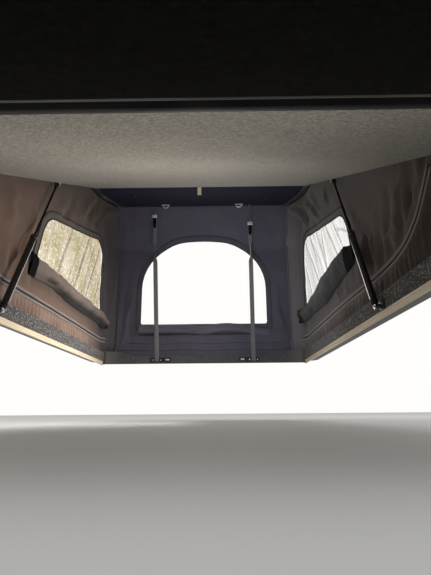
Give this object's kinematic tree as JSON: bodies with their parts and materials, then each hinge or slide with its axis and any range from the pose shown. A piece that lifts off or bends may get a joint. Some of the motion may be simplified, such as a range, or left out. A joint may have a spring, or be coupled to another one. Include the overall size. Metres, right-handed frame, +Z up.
{
  "type": "elevating roof of a camper van",
  "caption": "Rear-hinged pop-up roof for a camper van, raised on gas struts, with canvas tent, film windows, carpeted opening trim and a felt-lined ceiling.",
  "frame": {"origin": "centre of the four corner bolts of the base frame, on the flange's underside that beds on the vehicle's roof", "axes": "+Y to the front of the vehicle, +Z up, +X to the right"},
  "size_m": [1.344, 2.36, 0.9645],
  "materials": {
    "frame_metal": "black powder coat",
    "bracket_steel": "black powder coat",
    "chrome_fittings": "bright zinc or chrome",
    "carpet": "speckled dark grey lining carpet",
    "pale_strip": "cream plastic",
    "grey_felt": "grey felt",
    "black_carpet": "black lining carpet",
    "white_shell": "white gelcoat",
    "seal_rubber": "black rubber",
    "ceiling_felt": "heather grey felt",
    "stringer_board": "plain board",
    "dark_panel": "dark navy lining",
    "black_tube": "satin black",
    "strut_rod": "black nitrided rod",
    "black_plastic": "black plastic",
    "tan_webbing": "tan webbing",
    "grey_webbing": "grey webbing",
    "side_canvas": "taupe grey tent canvas",
    "front_canvas": "dark tent canvas",
    "window_film": "clear wrinkled window film",
    "flap_canvas": "grey canvas, folded"
  },
  "bodies": {
    "base": {"base_frame": "frame_metal", "edge_strip_left": "pale_strip", "edge_strip_right": "pale_strip", "front_flap": "flap_canvas", "front_trim": "grey_felt", "hinge_brackets": "bracket_steel", "hinge_pins": "chrome_fittings", "rear_board": "black_carpet", "side_trim_left": "carpet", "side_trim_right": "carpet", "strap_left": "grey_webbing", "strap_plates": "black_plastic", "strap_right": "grey_webbing", "strut_feet": "chrome_fittings", "tent_front": "front_canvas", "tent_left": "side_canvas", "tent_right": "side_canvas", "window_film_left": "window_film", "window_film_right": "window_film", "window_flap_left": "flap_canvas", "window_flap_right": "flap_canvas"},
    "roof": {"front_bow": "frame_metal", "hinge_arms": "bracket_steel", "lining_edge": "seal_rubber", "nose_catches": "chrome_fittings", "nose_panel": "dark_panel", "pull_tab": "tan_webbing", "rim_seal": "seal_rubber", "roof_hooks": "black_plastic", "roof_lining": "ceiling_felt", "roof_shell": "white_shell", "roof_stringers": "stringer_board", "strut_heads": "chrome_fittings"},
    "strut_tube_left_body": {"strut_tube_left": "black_tube"},
    "strut_rod_left_body": {"strut_rod_left": "strut_rod"},
    "strut_tube_right_body": {"strut_tube_right": "black_tube"},
    "strut_rod_right_body": {"strut_rod_right": "strut_rod"}
  },
  "joints": [
    {"name": "roof_hinge", "type": "hinge", "parent": "base", "child": "roof", "pos_m": [0, -1.15, 0.045], "axis": [1, 0, 0], "range_deg": [-22.4, 0], "deforming": ["tent_left", "tent_right", "tent_front", "window_film_left", "window_film_right", "window_flap_left", "window_flap_right", "front_flap", "strap_left", "strap_right"]},
    {"name": "strut_tilt_left", "type": "hinge", "parent": "base", "child": "strut_tube_left_body", "pos_m": [-0.556, -0.195, 0.009], "axis": [1, 0, 0], "range_deg": [-53.3, 0.1]},
    {"name": "strut_slide_left", "type": "slide", "parent": "strut_tube_left_body", "child": "strut_rod_left_body", "axis": [0, 0.4528, 0.8916], "range_m": [-0.2405, 0.0005]},
    {"name": "strut_tilt_right", "type": "hinge", "parent": "base", "child": "strut_tube_right_body", "pos_m": [0.556, -0.195, 0.009], "axis": [1, 0, 0], "range_deg": [-53.3, 0.1]},
    {"name": "strut_slide_right", "type": "slide", "parent": "strut_tube_right_body", "child": "strut_rod_right_body", "axis": [0, 0.4528, 0.8916], "range_m": [-0.2405, 0.0005]}
  ],
  "couplings": [
    {"joint": "strut_tilt_left", "follows": "roof_hinge", "ratio": 2.3764},
    {"joint": "strut_slide_left", "follows": "roof_hinge", "m_per_rad": 0.61479},
    {"joint": "strut_tilt_right", "follows": "roof_hinge", "ratio": 2.3764},
    {"joint": "strut_slide_right", "follows": "roof_hinge", "m_per_rad": 0.61479}
  ]
}
